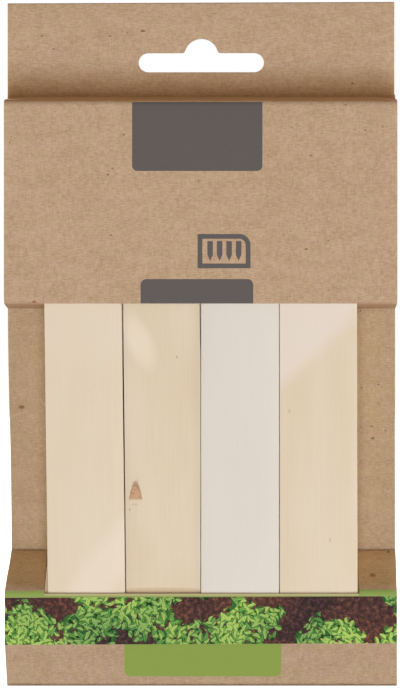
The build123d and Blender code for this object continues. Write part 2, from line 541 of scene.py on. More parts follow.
def slot_outline():
    """The hang slot: a bar with round ends, and a dome that small fillets join to it."""
    end = (SLOT_HIGH - SLOT_LOW) / 2
    middle = (SLOT_HIGH + SLOT_LOW) / 2
    line = []
    for k in range(ARC_STEPS + 1):
        angle = math.radians(-90 + 180 * k / ARC_STEPS)
        line.append((SLOT_HALF - end + end * math.cos(angle), middle + end * math.sin(angle)))
    drop = SLOT_HIGH + NECK_RADIUS - DOME_Z
    neck_x = math.sqrt((DOME_RADIUS + NECK_RADIUS) ** 2 - drop**2)
    meet = math.atan2(-drop, -neck_x)
    for k in range(NECK_STEPS + 1):
        angle = -math.pi / 2 + (meet + math.pi / 2) * k / NECK_STEPS
        line.append(
            (neck_x + NECK_RADIUS * math.cos(angle),
             SLOT_HIGH + NECK_RADIUS + NECK_RADIUS * math.sin(angle)),
        )
    start = math.atan2(drop, neck_x)
    for k in range(1, ARC_STEPS + 1):
        angle = start + (math.pi / 2 - start) * k / ARC_STEPS
        line.append((DOME_RADIUS * math.cos(angle), DOME_Z + DOME_RADIUS * math.sin(angle)))
    return line + [(-x, z) for x, z in reversed(line[:-1])]


punch_form = bmesh.new()
ring = [punch_form.verts.new((x, HEADER_FRONT_Y - PUNCH_REACH, z)) for x, z in slot_outline()]
grown = bmesh.ops.extrude_face_region(punch_form, geom=[punch_form.faces.new(ring)])
for vertex in grown["geom"]:
    if isinstance(vertex, bmesh.types.BMVert):
        vertex.co.y = BACK_Y + PUNCH_REACH
punch_mesh = outward_mesh("slot_punch", punch_form)
for vertex in punch_mesh.vertices:
    vertex.co = backing_shape(vertex.co)
punch_mesh.materials.append(kraft_cut)
punch = new_object("slot_punch", punch_mesh)
cut = backing.modifiers.new("hang_slot", "BOOLEAN")
cut.operation = "DIFFERENCE"
cut.solver = "EXACT"
cut.object = punch
apply_modifiers(backing)
bpy.data.objects.remove(punch)
finish_sheet(backing, lambda place: near(place.z, HEADER_SEAM) or near(place.y, BASE_SEAM))
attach(backing, "backing")
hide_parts("back_panel", "header_back", "header_front", "bottom_panel")

# Cap, the sloping top and the upper front
# The same sheet turns forward at the header's foot, slopes over the label tops and hangs down in front
# of them. Its front carries a printed charcoal block and tab, and ends in a cut edge over the window.
FRONT_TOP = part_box("upper_front_panel")[1].z
FRONT_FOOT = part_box("upper_front_panel")[0].z
CREASE_RADIUS = 0.25 * MM
CREASE_DROP = 0.2 * MM
FRONT_ROLL_LIFT = 0.35 * MM
FRONT_FOLD_RADIUS = 2.0 * MM
TAB_FOLD_RADIUS = 2.0 * MM
UPPER_SEAM = FRONT_FOOT + 2.1 * MM
CREASE_END_DIP = 0.5 * MM
CREASE_DIP_HEIGHTS = mm(140, 150)
CREASE_DIP_START = 46 * MM
CREASE_DIP_DEPTH = 3 * MM
SLIT_OPENS = FRONT_FOOT + 1.0 * MM
SLIT_SLACK = 0.09 * MM
SLIT_GAP = 0.05 * MM
FRONT_RIGHT_IN = 0.45 * MM
CHARCOAL = "#59585B"
CHARCOAL_ROUGHNESS = 0.8
INK_SHOW_THROUGH = 0.05
PRINT_SOFTNESS = 0.05 * MM

# Printed areas: left, right, low, high and corner radius
CHARCOAL_BLOCK = mm(-18.1, 15.9, 134.1, 156, 1.45)
CHARCOAL_TAB = mm(-15.9, 13.5, 90, 106, 1.56)
FRAME_OUTSIDE = mm(-1.05, 12.8, 108.75, 117.75, 3.0)
FRAME_INSIDE = mm(0.2, 11.55, 110.0, 116.5, 1.75)

# Printed stakes: their number, the first one's middle and their spacing, then foot, top and half width
STAKES, STAKE_X, STAKE_SPACING = 4, 2.25, 2.47
STAKE_SHAPE = mm(110.7, 115.9, 0.75)

STAKE_CORNER = 0.3 * MM
FRAME_CORNER = 0.1 * MM


def print_area(tree, place, left, right, low, high, radius):
    """1 inside a printed rectangle with round corners, seen from the front, and 0 outside it."""
    centre = ((left + right) / 2, 0, (low + high) / 2)
    core = ((right - left) / 2 - radius, 1, (high - low) / 2 - radius)
    away = add(tree, "VectorMath", [place, centre], operation="SUBTRACT")
    away = add(tree, "VectorMath", [away], operation="ABSOLUTE")
    away = add(tree, "VectorMath", [away, core], operation="SUBTRACT")
    away = add(tree, "VectorMath", [away, (0, 0, 0)], operation="MAXIMUM")
    far = add(tree, "VectorMath", [away], operation="LENGTH")
    return add(tree, "MapRange", {"Value": far, "From Min": radius, "From Max": radius - PRINT_SOFTNESS})


def both_areas(tree, first, second, operation):
    """Two printed areas together: MAXIMUM joins them and SUBTRACT takes the second away."""
    return add(tree, "Math", [first, second], operation=operation, use_clamp=True)


def ink(tree, paper, area, code):
    """Ink printed on the paper in that area, with a little of the fibre pattern showing through."""
    soaked = add(tree, "Mix", {"Factor": INK_SHOW_THROUGH, "A": linear(code), "B": paper}, **COLOURS)
    return add(tree, "Mix", {"Factor": area, "A": paper, "B": soaked}, **COLOURS)


def count_frame(tree, place, left, right, low, high, radius):
    """A printed rectangle whose upper right corner alone is round."""
    square = print_area(tree, place, left, right, low, high, FRAME_CORNER)
    rounded = print_area(tree, place, left - 2 * radius, right, low - 2 * radius, high, radius)
    return add(tree, "Math", [square, rounded], operation="MULTIPLY")


def stake_shape(tree, place, middle, foot, top, half):
    """A small printed label stake: a narrow bar with a pointed foot."""
    bar = print_area(tree, place, middle - half, middle + half, foot, top, STAKE_CORNER)
    parts = add(tree, "SeparateXYZ", {"Vector": place})
    aside = add(tree, "Math", [parts.outputs["X"], middle], operation="SUBTRACT")
    aside = add(tree, "Math", [aside], operation="ABSOLUTE")
    rise = add(
        tree, "MapRange",
        {"Value": parts.outputs["Z"], "From Min": foot, "From Max": foot + 2.2 * half, "To Max": half},
    )
    spare = add(tree, "Math", [rise, aside], operation="SUBTRACT")
    pointed = add(tree, "MapRange", {"Value": spare, "From Min": -0.02 * MM, "From Max": 0.03 * MM})
    return add(tree, "Math", [bar, pointed], operation="MULTIPLY")


def charcoal_print():
    """Water-based ink soaked into kraft: flat and matt, its edges crisp, the fibres faintly seen."""
    material, tree, shader = start_material(
        "kraft_board_printed_charcoal", CHARCOAL_ROUGHNESS, UNCOATED_SPECULAR
    )
    place = blank_place(tree)
    paper, height = kraft_colour(tree, place)
    block = print_area(tree, place, *CHARCOAL_BLOCK)
    parts = add(tree, "SeparateXYZ", {"Vector": place})
    below_fold = add(
        tree, "MapRange",
        {"Value": parts.outputs["Z"], "From Min": FRONT_TOP - 0.02 * MM,
         "From Max": FRONT_TOP - 0.12 * MM},
    )
    block = add(tree, "Math", [block, below_fold], operation="MULTIPLY")
    tab = print_area(tree, place, *CHARCOAL_TAB)
    frame_out = count_frame(tree, place, *FRAME_OUTSIDE)
    frame_in = count_frame(tree, place, *FRAME_INSIDE)
    printed = both_areas(tree, frame_out, frame_in, "SUBTRACT")
    for step in range(STAKES):
        stake = stake_shape(tree, place, (STAKE_X + STAKE_SPACING * step) * MM, *STAKE_SHAPE)
        printed = both_areas(tree, printed, stake, "MAXIMUM")
    printed = both_areas(tree, printed, block, "MAXIMUM")
    printed = both_areas(tree, printed, tab, "MAXIMUM")
    finish_board(tree, shader, ink(tree, paper, printed, CHARCOAL), height)
    return material


def front_shape(place):
    """The upper front stands in a little at the right, and its crease dips at the ends."""
    x, y, z = place
    side = abs(x) / HALF_WIDTH
    at_crease = between(z, HEADER_SEAM, HEADER_FOOT - 0.1 * MM) * between(z, *CREASE_DIP_HEIGHTS)
    at_crease *= between(y, FRONT_Y + CREASE_DIP_DEPTH, HEADER_FRONT_Y)
    z -= CREASE_END_DIP * at_crease * between(abs(x), CREASE_DIP_START, HALF_WIDTH)
    if x > 0:
        x -= FRONT_RIGHT_IN * side * between(y, HEADER_FRONT_Y, FRONT_Y)
    return wavy_edge(x, z, side, 3), y, z


def in_window(seam, hand):
    """The sheet above a seam, or below it with hand -1, and past it only the part between the tabs."""
    return lambda point, x: (point.y - seam) * hand > 0 or abs(x) < TAB_START


def in_slit(place):
    """On the closed part of the slit beside a tab, where its two edges still touch."""
    closed = SLIT_OPENS - SEAM_SLACK < place.z < UPPER_SEAM + SEAM_SLACK
    return closed and abs(abs(place.x) - TAB_START) < SLIT_SLACK


cap = board_sheet(
    "cap_board",
    fold_rows(
        [(HEADER_FRONT_Y, HEADER_SEAM), (HEADER_FRONT_Y, HEADER_FOOT - CREASE_DROP),
         (FRONT_Y, FRONT_TOP + FRONT_ROLL_LIFT), (FRONT_Y, UPPER_SEAM), (FRONT_Y, SLIT_OPENS),
         (FRONT_Y, FRONT_FOOT)],
        [CREASE_RADIUS, FRONT_FOLD_RADIUS, 0, 0],
    ),
    board_columns(-HALF_WIDTH, HALF_WIDTH, (-TAB_START, TAB_START)), charcoal_print(),
    present=in_window(UPPER_SEAM, 1), shape=front_shape,
)
finish_sheet(cap, lambda place: near(place.z, HEADER_SEAM) or near(place.z, UPPER_SEAM) or in_slit(place))
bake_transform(cap)
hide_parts("top_panel", "upper_front_panel")

# Upper tabs
# On each side of the window the sheet rolls in under the front and back to the back panel, as a narrow
# ledge. Nothing is glued here: the tab stays in by its own stiffness.
TAB_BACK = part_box("upper_left_tab")[1].y
UPPER_TAB_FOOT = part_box("upper_left_tab")[0].z
kraft_tab = tab_kraft()
for side, hand in (("left", -1), ("right", 1)):
    edges = sorted((hand * (TAB_START + SLIT_GAP), hand * HALF_WIDTH))
    flap = board_sheet(
        f"upper_{side}_flap_board",
        fold_rows(
            [(FRONT_Y, UPPER_SEAM), (FRONT_Y, FRONT_FOOT), (TAB_BACK, UPPER_TAB_FOOT + 0.02 * MM)],
            [TAB_FOLD_RADIUS],
        ),
        board_columns(*edges), kraft_tab, shape=front_shape,
    )
    finish_sheet(flap, lambda place: near(place.z, UPPER_SEAM) or in_slit(place))
    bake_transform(flap)
    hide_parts(f"upper_{side}_tab")

# Pocket
# The sheet turns up from the base in front of the label tips. A green line runs along its top edge, a
# band of printed leaves lies under that, and a green tab hangs from the band over plain kraft.
POCKET_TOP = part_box("lower_front_panel")[1].z
POCKET_SEAM = POCKET_TOP - 1.2 * MM
POCKET_EDGE = POCKET_TOP - 0.45 * MM
BAND_TOP = 23.2 * MM
BAND_FOOT = 10.9 * MM
BAND_REACH = 80 * MM
LINE_HEIGHT = 1.7 * MM
PRINT_CORNER = 0.06 * MM
GREEN = "#8AA656"
WORN_GREEN = "#B9B88A"
WORN_BARE = "#BCB388"
LEDGE_PAINTED_SHADE = "#FFF6DC"
PRINT_TILT = 0.004
TAB_GREEN = "#849F4B"
GREEN_TAB = (-20.1 * MM, 20.8 * MM, 2.5 * MM, BAND_FOOT + 3 * MM, 1.56 * MM)
SOIL_CRUMB = 1.1 * MM
SOIL_DARK = "#412B2E"
SOIL = "#593D40"
SOIL_LIGHT = "#A0645E"

# Beds of leaves from the lowest up: cell size in mm, shift of the scatter, and dark to light colours
LEAF_BEDS = (
    (4.2, 3.1, ("#1D3D26", "#38683A", "#639650")),
    (3.0, 17.7, ("#33683A", "#5C984E", "#98CA78")),
    (2.2, 41.3, ("#649148", "#9DC868", "#D0E6A2")),
)
LEAF_ROUGHNESS = 0.75

# A leaf turns by up to this in radians, and is this wide and curved in cells of the scatter
LEAF_TURN = 6.28
LEAF_HALF_WIDTH = 0.33
LEAF_TAPER = -1.1
RIB_LIGHT = 0.35
CRUMPLE_SCALE = 7.0

# Each bed has a second scatter of smaller leaves, and lies in cool shade or warm sun
SMALLER_LEAVES, SMALLER_SHIFT = 0.8, 5.5
SHADED_BED = "#B9CCC6"
SUNLIT_BED = "#FFFBDE"

# Sizes of the print's slow patterns in mm. The 1000 along Y keeps them the same through the folds.
LEAF_PATCH = (17, 1000, 14)
SUN_PATCH = (21, 1000, 19)
WEAR_PATCH = (14, 1000, 3)


def leaf_scatter(tree, place, size, shift, ground, colours, density):
    """Almond-shaped leaves at random angles over the ground, each with a midrib and a shaded half."""
    flat = add(
        tree, "VectorMath", [place, (1 / size, 0, 1 / size), (shift, 0, shift)], operation="MULTIPLY_ADD"
    )
    cell = add(tree, "TexVoronoi", {"Vector": flat, "Scale": 1.0, "Randomness": 0.9})
    draw = add(tree, "SeparateColor", {"Color": cell.outputs["Color"]})
    local = add(tree, "VectorMath", [flat, cell.outputs["Position"]], operation="SUBTRACT")
    angle = add(tree, "Math", [draw.outputs["Red"], LEAF_TURN], operation="MULTIPLY")
    turned = add(tree, "VectorRotate", {"Vector": local, "Angle": angle}, rotation_type="Y_AXIS")
    parts = add(tree, "SeparateXYZ", {"Vector": turned})
    along = add(tree, "Math", [parts.outputs["X"], parts.outputs["X"]], operation="MULTIPLY")
    across = add(tree, "Math", [parts.outputs["Z"]], operation="ABSOLUTE")
    bulge = add(tree, "Math", [along, LEAF_TAPER, LEAF_HALF_WIDTH], operation="MULTIPLY_ADD")
    spare = add(tree, "Math", [bulge, across], operation="SUBTRACT")
    shape = add(tree, "MapRange", {"Value": spare, "From Max": 0.04})
    here = add(tree, "Math", [draw.outputs["Green"], density], operation="LESS_THAN")
    shape = add(tree, "Math", [shape, here], operation="MULTIPLY")
    rib = add(tree, "MapRange", {"Value": across, "From Min": 0.05, "From Max": 0.015})
    half = add(
        tree, "MapRange",
        {"Value": parts.outputs["Z"], "From Min": -0.12, "From Max": 0.12, "To Min": 0.15, "To Max": 0.75},
    )
    crumple = add(tree, "TexNoise", {"Vector": flat, "Scale": CRUMPLE_SCALE, "Detail": 2.0})
    tone = add(tree, "Math", [half, crumple], operation="MULTIPLY")
    tone = add(tree, "Math", [rib, RIB_LIGHT, tone], operation="MULTIPLY_ADD")
    blade = ramp(tree, tone, [(0.08, colours[0]), (0.3, colours[1]), (0.62, colours[2])])
    return add(tree, "Mix", {"Factor": shape, "A": ground, "B": blade}, **COLOURS)


def leaf_print():
    """Offset print on kraft: leaves over dark soil, with a green line above and a green tab below."""
    material, tree, shader = start_material("kraft_board_printed_leaves", LEAF_ROUGHNESS, UNCOATED_SPECULAR)
    place = blank_place(tree)
    paper, height = kraft_colour(tree, place)
    crumbs = add(
        tree, "TexNoise", {"Vector": place, "Scale": 1 / SOIL_CRUMB, "Detail": 5.0, "Roughness": 0.65}
    )
    picture = ramp(tree, crumbs, [(0.36, SOIL_DARK), (0.52, SOIL), (0.72, SOIL_LIGHT)])
    beds = pattern(tree, "TexNoise", place, LEAF_PATCH, Detail=1.0)
    density = add(tree, "MapRange", {"Value": beds, "From Min": 0.4, "From Max": 0.56, "To Max": 1.0})
    for size, shift, colours in LEAF_BEDS:
        picture = leaf_scatter(tree, place, size * MM, shift, picture, colours, density)
        size, shift = size * MM * SMALLER_LEAVES, shift + SMALLER_SHIFT
        picture = leaf_scatter(tree, place, size, shift, picture, colours, density)
    sun = pattern(tree, "TexNoise", place, SUN_PATCH, Detail=1.0)
    cast = ramp(tree, sun, [(0.4, SHADED_BED), (0.6, SUNLIT_BED)])
    picture = add(tree, "Mix", {"Factor": 1.0, "A": picture, "B": cast}, **TINT_AND_SHADE)
    parts = add(tree, "SeparateXYZ", {"Vector": place})
    level = add(
        tree, "Math", [parts.outputs["X"], -PRINT_TILT, parts.outputs["Z"]], operation="MULTIPLY_ADD"
    )
    tilted = add(tree, "CombineXYZ", {"X": parts.outputs["X"], "Z": level})
    band = print_area(tree, tilted, -BAND_REACH, BAND_REACH, BAND_FOOT, BAND_TOP, PRINT_CORNER)
    line = print_area(
        tree, tilted, -BAND_REACH, BAND_REACH, BAND_TOP, BAND_TOP + LINE_HEIGHT, PRINT_CORNER
    )
    worn = print_area(
        tree, place, -TAB_START, TAB_START, BAND_TOP + 0.3 * MM, BAND_TOP + 4 * MM, PRINT_CORNER
    )
    tab = print_area(tree, place, *GREEN_TAB)
    # Painted shade: the lower ledges are tinted warmer, standing in for the warm light that kraft faces
    # throw on each other
    on_ledge = add(
        tree, "MapRange",
        {"Value": parts.outputs["Y"], "From Min": FRONT_Y + 0.6 * MM, "From Max": FRONT_Y + 2.6 * MM},
    )
    paper = with_painted_shade(tree, paper, LEDGE_PAINTED_SHADE, on_ledge)
    printed = ink(tree, paper, tab, TAB_GREEN)
    printed = ink(tree, printed, line, GREEN)
    wear = pattern(tree, "TexNoise", place, WEAR_PATCH, Detail=3.0)
    edge = ramp(tree, wear, [(0.42, WORN_GREEN), (0.58, WORN_BARE)])
    printed = add(tree, "Mix", {"Factor": worn, "A": printed, "B": edge}, **COLOURS)
    printed = add(tree, "Mix", {"Factor": band, "A": printed, "B": picture}, **COLOURS)
    finish_board(tree, shader, printed, height)
    return material


kraft_printed = leaf_print()

POCKET_LEFT = 0.2 * MM
POCKET_TAPER = 0.65 * MM
TAPER_TOP = 12 * MM
BASE_ZONE = 2 * MM


def pocket_shape(place):
    """The pocket narrows towards the base at its left, and stands a little in from the right."""
    x, y, z = place
    side = abs(x) / HALF_WIDTH
    outer = side if z < BASE_ZONE else max(0, (abs(x) - TAB_START) / (HALF_WIDTH - TAB_START))
    if x < 0:
        x += side * (POCKET_LEFT + POCKET_TAPER * between(z, TAPER_TOP, 0))
        x += outer * (BACK_LEFT_FOOT - POCKET_LEFT) * between(y, FRONT_Y, BASE_BACK)
    else:
        x -= POCKET_RIGHT * outer * between(y, BASE_BACK, FRONT_Y)
    return wavy_edge(x, z, side, 7), y, z


pocket = board_sheet(
    "pocket_board",
    fold_rows(
        [(FRONT_Y, POCKET_EDGE), (FRONT_Y, POCKET_SEAM), (FRONT_Y, 0), (BASE_SEAM, 0)], [0, FOLD_RADIUS]
    ),
    board_columns(-HALF_WIDTH, HALF_WIDTH, (-TAB_START, TAB_START)), kraft_printed,
    present=in_window(POCKET_SEAM, -1), shape=pocket_shape,
)
finish_sheet(pocket, lambda place: near(place.z, POCKET_SEAM) or near(place.y, BASE_SEAM))
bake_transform(pocket)
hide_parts("lower_front_panel")

# Lower tabs
# Beside the labels the pocket's top edge is folded in and up to the back panel as a sloping ledge, and
# the green line rolls over with it.
LOWER_TAB_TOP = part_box("lower_left_tab")[1].z
for side, hand in (("left", -1), ("right", 1)):
    edges = sorted((hand * (TAB_START + SLIT_GAP), hand * HALF_WIDTH))
    flap = board_sheet(
        f"lower_{side}_flap_board",
        fold_rows(
            [(TAB_BACK, LOWER_TAB_TOP), (FRONT_Y, POCKET_TOP), (FRONT_Y, POCKET_SEAM)], [TAB_FOLD_RADIUS]
        ),
        board_columns(*edges), kraft_printed, shape=pocket_shape,
    )
    finish_sheet(flap, lambda place: near(place.z, POCKET_SEAM))
    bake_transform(flap)
    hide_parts(f"lower_{side}_tab")

# Wooden labels
# Twenty-four sawn slips of pale wood, 20 x 150 x 2 mm, pointed at the foot, stand loose in six layers
# of four. They are sanded smooth, and no two are quite the same width, colour or straightness.
LABEL_TIP = 22 * MM
LABEL_TIP_WIDTH = 3 * MM
LABEL_CORNER = 1 * MM
LABEL_EASE = 0.1 * MM
LABEL_EASE_ANGLE = math.radians(30)
LABEL_PLAY = 0.02 * MM
SAW_WAVE = 0.12 * MM
SAW_WAVE_LENGTH = 19 * MM
SAW_WAVE_ACROSS = 9.0
SAW_WAVE_APART = 3.7
LEFT_TRIM_SHARES = (0.7, 0.1)
RIGHT_TRIM_SHARES = (0.56, 0.66)
LAYERS, COLUMNS = 6, 4
LABEL_SEED = 24
TIP_ROWS = 6
BODY_ROWS = 30
CORNER_ROWS = 5
WOOD_ROWS = TIP_ROWS + BODY_ROWS + CORNER_ROWS


def label_tree():
    """Geometry Nodes for one label: a box whose rows are set to the outline, then leant and bowed."""
    tree = bpy.data.node_groups.new("sawn_label", "GeometryNodeTree")
    made = tree.interface
    made.new_socket("Geometry", in_out="INPUT", socket_type="NodeSocketGeometry")
    made.new_socket("Geometry", in_out="OUTPUT", socket_type="NodeSocketGeometry")
    for name in (
        "Width", "Thickness", "Length", "Tip Length", "Tip Width", "Corner Radius", "Middle X", "Front Y",
        "Foot Z", "Lean", "Bow", "Left Trim", "Foot From", "Foot To", "Right Trim", "Top From", "Top To",
        "Edge Wave", "Number",
    ):
        made.new_socket(name, in_out="INPUT", socket_type="NodeSocketFloat")
    made.new_socket("Wood", in_out="INPUT", socket_type="NodeSocketMaterial")
    given = tree.nodes.new("NodeGroupInput").outputs
    box = add(
        tree, "GeometryNodeMeshCube",
        {"Size": (1, 1, 1), "Vertices X": 5, "Vertices Y": 2, "Vertices Z": WOOD_ROWS + 1},
    )
    parts = add(tree, "SeparateXYZ", [add(tree, "GeometryNodeInputPosition")])
    row = add(tree, "Math", [parts.outputs["Z"], WOOD_ROWS, WOOD_ROWS / 2], operation="MULTIPLY_ADD")
    corner_turn = add(
        tree, "MapRange",
        {"Value": row, "From Min": TIP_ROWS + BODY_ROWS, "From Max": WOOD_ROWS, "To Max": math.pi / 2},
    )
    corner_sine = add(tree, "Math", [corner_turn], operation="SINE")
    corner_cosine = add(tree, "Math", [corner_turn], operation="COSINE")
    tip_z = add(tree, "MapRange", {"Value": row, "From Max": TIP_ROWS, "To Max": given["Tip Length"]})
    straight = add(tree, "Math", [given["Length"], given["Corner Radius"]], operation="SUBTRACT")
    straight = add(tree, "Math", [straight, given["Tip Length"]], operation="SUBTRACT")
    body_z = add(
        tree, "MapRange",
        {"Value": row, "From Min": TIP_ROWS, "From Max": TIP_ROWS + BODY_ROWS, "To Max": straight},
    )
    z = add(tree, "Math", [tip_z, body_z], operation="ADD")
    z = add(tree, "Math", [corner_sine, given["Corner Radius"], z], operation="MULTIPLY_ADD")
    width = add(
        tree, "MapRange",
        {"Value": row, "From Max": TIP_ROWS, "To Min": given["Tip Width"], "To Max": given["Width"]},
    )
    rounded = add(tree, "Math", [1.0, corner_cosine], operation="SUBTRACT")
    rounded = add(tree, "Math", [rounded, given["Corner Radius"]], operation="MULTIPLY")
    width = add(tree, "Math", [rounded, -2.0, width], operation="MULTIPLY_ADD")
    wander = add(tree, "CombineXYZ", {"X": parts.outputs["X"], "Y": given["Number"], "Z": z})
    spread = (SAW_WAVE_ACROSS, SAW_WAVE_APART, 1 / SAW_WAVE_LENGTH)
    wander = add(tree, "VectorMath", [wander, spread], operation="MULTIPLY")
    wave = add(tree, "TexNoise", {"Vector": wander, "Scale": 1.0, "Detail": 2.0})
    wave = add(tree, "Math", [wave, given["Edge Wave"]], operation="MULTIPLY")
    width = add(tree, "Math", [width, wave], operation="SUBTRACT")
    height_share = add(tree, "Math", [z, given["Length"]], operation="DIVIDE")
    left_share = add(tree, "MapRange", {"Value": parts.outputs["X"], "From Min": 0.0, "From Max": -0.5})
    right_share = add(tree, "MapRange", {"Value": parts.outputs["X"], "From Min": 0.0, "From Max": 0.5})
    foot_share = add(
        tree, "MapRange",
        {"Value": height_share, "From Min": given["Foot From"], "From Max": given["Foot To"]},
    )
    top_share = add(
        tree, "MapRange",
        {"Value": height_share, "From Min": given["Top From"], "From Max": given["Top To"]},
    )
    left_trim = add(tree, "Math", [left_share, foot_share], operation="MULTIPLY")
    right_trim = add(tree, "Math", [right_share, top_share], operation="MULTIPLY")
    right_trim = add(tree, "Math", [right_trim, given["Right Trim"]], operation="MULTIPLY")
    x = add(tree, "Math", [parts.outputs["X"], width, given["Middle X"]], operation="MULTIPLY_ADD")
    x = add(tree, "Math", [left_trim, given["Left Trim"], x], operation="MULTIPLY_ADD")
    x = add(tree, "Math", [x, right_trim], operation="SUBTRACT")
    off_middle = add(tree, "Math", [height_share, 0.5], operation="SUBTRACT")
    x = add(tree, "Math", [off_middle, given["Lean"], x], operation="MULTIPLY_ADD")
    arch = add(tree, "Math", [off_middle, off_middle], operation="MULTIPLY")
    arch = add(tree, "Math", [arch, -4.0, 1.0], operation="MULTIPLY_ADD")
    depth = add(tree, "Math", [parts.outputs["Y"], 0.5], operation="ADD")
    y = add(tree, "Math", [depth, given["Thickness"], given["Front Y"]], operation="MULTIPLY_ADD")
    y = add(tree, "Math", [arch, given["Bow"], y], operation="MULTIPLY_ADD")
    z = add(tree, "Math", [z, given["Foot Z"]], operation="ADD")
    place = add(tree, "CombineXYZ", {"X": x, "Y": y, "Z": z})
    placed = add(tree, "GeometryNodeSetPosition", {"Geometry": box.outputs["Mesh"], "Position": place})
    numbered = add(
        tree, "GeometryNodeStoreNamedAttribute",
        {"Geometry": placed, "Name": "label_number", "Value": given["Number"]}, domain="POINT",
    )
    solid = add(tree, "GeometryNodeRealizeInstances", {"Geometry": numbered})
    wooden = add(tree, "GeometryNodeSetMaterial", {"Geometry": solid, "Material": given["Wood"]})
    add(tree, "NodeGroupOutput", {"Geometry": wooden})
    return tree


WOOD_PALE = "#E0D6C4"
WOOD_WARM = "#D9CBB2"
WOOD_GREY = "#D9D5CF"
KNOT_RIM = "#9C7453"
KNOT_HEART = "#BF9877"
PORE_BROWN = "#A88A62"
FLECK_BROWN = "#BFA27A"
KNOT_FIBRE = 0.6 * MM
SANDED_ROUGHNESS = 0.62
SANDED_SPECULAR = 0.3
GRAIN_RELIEF = 0.03 * MM
GRAIN_BUMP = 0.25
CLOUD_SHARE = 0.72
PORE_DARKNESS = 0.14

# Each label is cut from its own part of the wood, this far in metres from the one before
LABELS_APART = (7.31, 3.17, 5.79)

# Sizes of the wood's patterns in mm, along X, Y and Z
GRAIN = (0.55, 0.55, 22)
CLOUD = (13, 13, 42)
PORES = (0.5, 0.5, 2.6)


def wood_patch(tree, place, wood, shape, code, strength, softness=0.5):
    """A soft-edged patch of another tone. Its shape is x, z, half width and half height in mm, and turn."""
    x, z, half_width, half_height = mm(*shape[:4])
    away = add(tree, "VectorMath", [place, (x, 0, z)], operation="SUBTRACT")
    away = add(
        tree, "VectorRotate", {"Vector": away, "Angle": math.radians(shape[4])}, rotation_type="Y_AXIS"
    )
    away = add(tree, "VectorMath", [away, (1 / half_width, 0, 1 / half_height)], operation="MULTIPLY")
    far = add(tree, "VectorMath", [away], operation="LENGTH")
    share = add(
        tree, "MapRange",
        {"Value": far, "From Min": 1 + softness, "From Max": 1 - softness, "To Max": strength},
        interpolation_type="SMOOTHSTEP",
    )
    return add(tree, "Mix", {"Factor": share, "A": wood, "B": linear(code)}, **COLOURS)


def knot_mark(tree, place, wood, middle, foot, top, half):
    """A tight knot that the saw cut along: a small brown cone, darker round its rim."""
    parts = add(tree, "SeparateXYZ", {"Vector": place})
    aside = add(tree, "Math", [parts.outputs["X"], middle], operation="SUBTRACT")
    aside = add(tree, "Math", [aside, half], operation="DIVIDE")
    aside = add(tree, "Math", [aside, aside], operation="MULTIPLY")
    under = add(tree, "Math", [top, parts.outputs["Z"]], operation="SUBTRACT")
    under = add(tree, "Math", [under, top - foot], operation="DIVIDE")
    fibres = add(tree, "TexNoise", {"Vector": place, "Scale": 1 / KNOT_FIBRE, "Detail": 2.0})
    ragged = add(tree, "Math", [fibres, 0.5, -0.25], operation="MULTIPLY_ADD")
    spare = add(tree, "Math", [under, aside], operation="SUBTRACT")
    spare = add(tree, "Math", [spare, ragged], operation="ADD")
    cone = add(tree, "MapRange", {"Value": spare, "From Min": -0.16, "From Max": 0.16, "To Max": 0.9})
    above = add(
        tree, "MapRange",
        {"Value": parts.outputs["Z"], "From Min": foot - 0.3 * MM, "From Max": foot + 0.3 * MM},
    )
    share = add(tree, "Math", [cone, above], operation="MULTIPLY")
    mottled = add(tree, "Math", [fibres, 1.2, spare], operation="MULTIPLY_ADD")
    tone = ramp(tree, mottled, [(0.8, KNOT_RIM), (1.4, KNOT_HEART)])
    return add(tree, "Mix", {"Factor": share, "A": wood, "B": tone}, **COLOURS)


def label_wood(name, warm, pale=WOOD_PALE, patches=(), knot=None):
    """Sanded birch or poplar: almost white, a faint straight grain 0.3 mm wide, slow changes of tone."""
    material, tree, shader = start_material(name, SANDED_ROUGHNESS, SANDED_SPECULAR)
    place = add(tree, "TexCoord").outputs["Object"]
    number = add(tree, "Attribute", attribute_name="label_number").outputs["Fac"]
    shift = add(tree, "CombineXYZ", {"X": number, "Y": number, "Z": number})
    own = add(tree, "VectorMath", [shift, LABELS_APART], operation="MULTIPLY")
    own = add(tree, "VectorMath", [own, place], operation="ADD")
    grain = pattern(tree, "TexNoise", own, GRAIN, Detail=3.0, Roughness=0.6)
    cloud = pattern(tree, "TexNoise", own, CLOUD, Detail=2.0)
    mixed = add(tree, "Mix", {"Factor": CLOUD_SHARE, "A": grain, "B": cloud})
    wood = ramp(tree, mixed, [(0.3, warm), (0.7, pale)])
    for patch in patches:
        wood = wood_patch(tree, place, wood, *patch)
    if knot:
        wood = knot_mark(tree, place, wood, *mm(*knot))
    pore = pattern(tree, "TexVoronoi", own, PORES)
    pore_share = add(
        tree, "MapRange", {"Value": pore, "From Min": 0.16, "From Max": 0.05, "To Max": PORE_DARKNESS}
    )
    wood = add(tree, "Mix", {"Factor": pore_share, "A": wood, "B": linear(PORE_BROWN)}, **COLOURS)
    bump = add(tree, "Bump", {"Height": grain, "Strength": GRAIN_BUMP, "Distance": GRAIN_RELIEF})
    tree.links.new(next(s for s in wood.outputs if s.enabled), shader.inputs["Base Color"])
    tree.links.new(bump.outputs["Normal"], shader.inputs["Normal"])
    return material


stack_wood = label_wood("birch_sawn_stack", "#D5C3A6", "#DED1BA")
# Browner, darker wood for the splinters: partly the torn fibres' own colour, partly painted shade
torn_wood_painted_shade = label_wood("birch_torn_fibres", "#B4997C", "#C4AC8F")

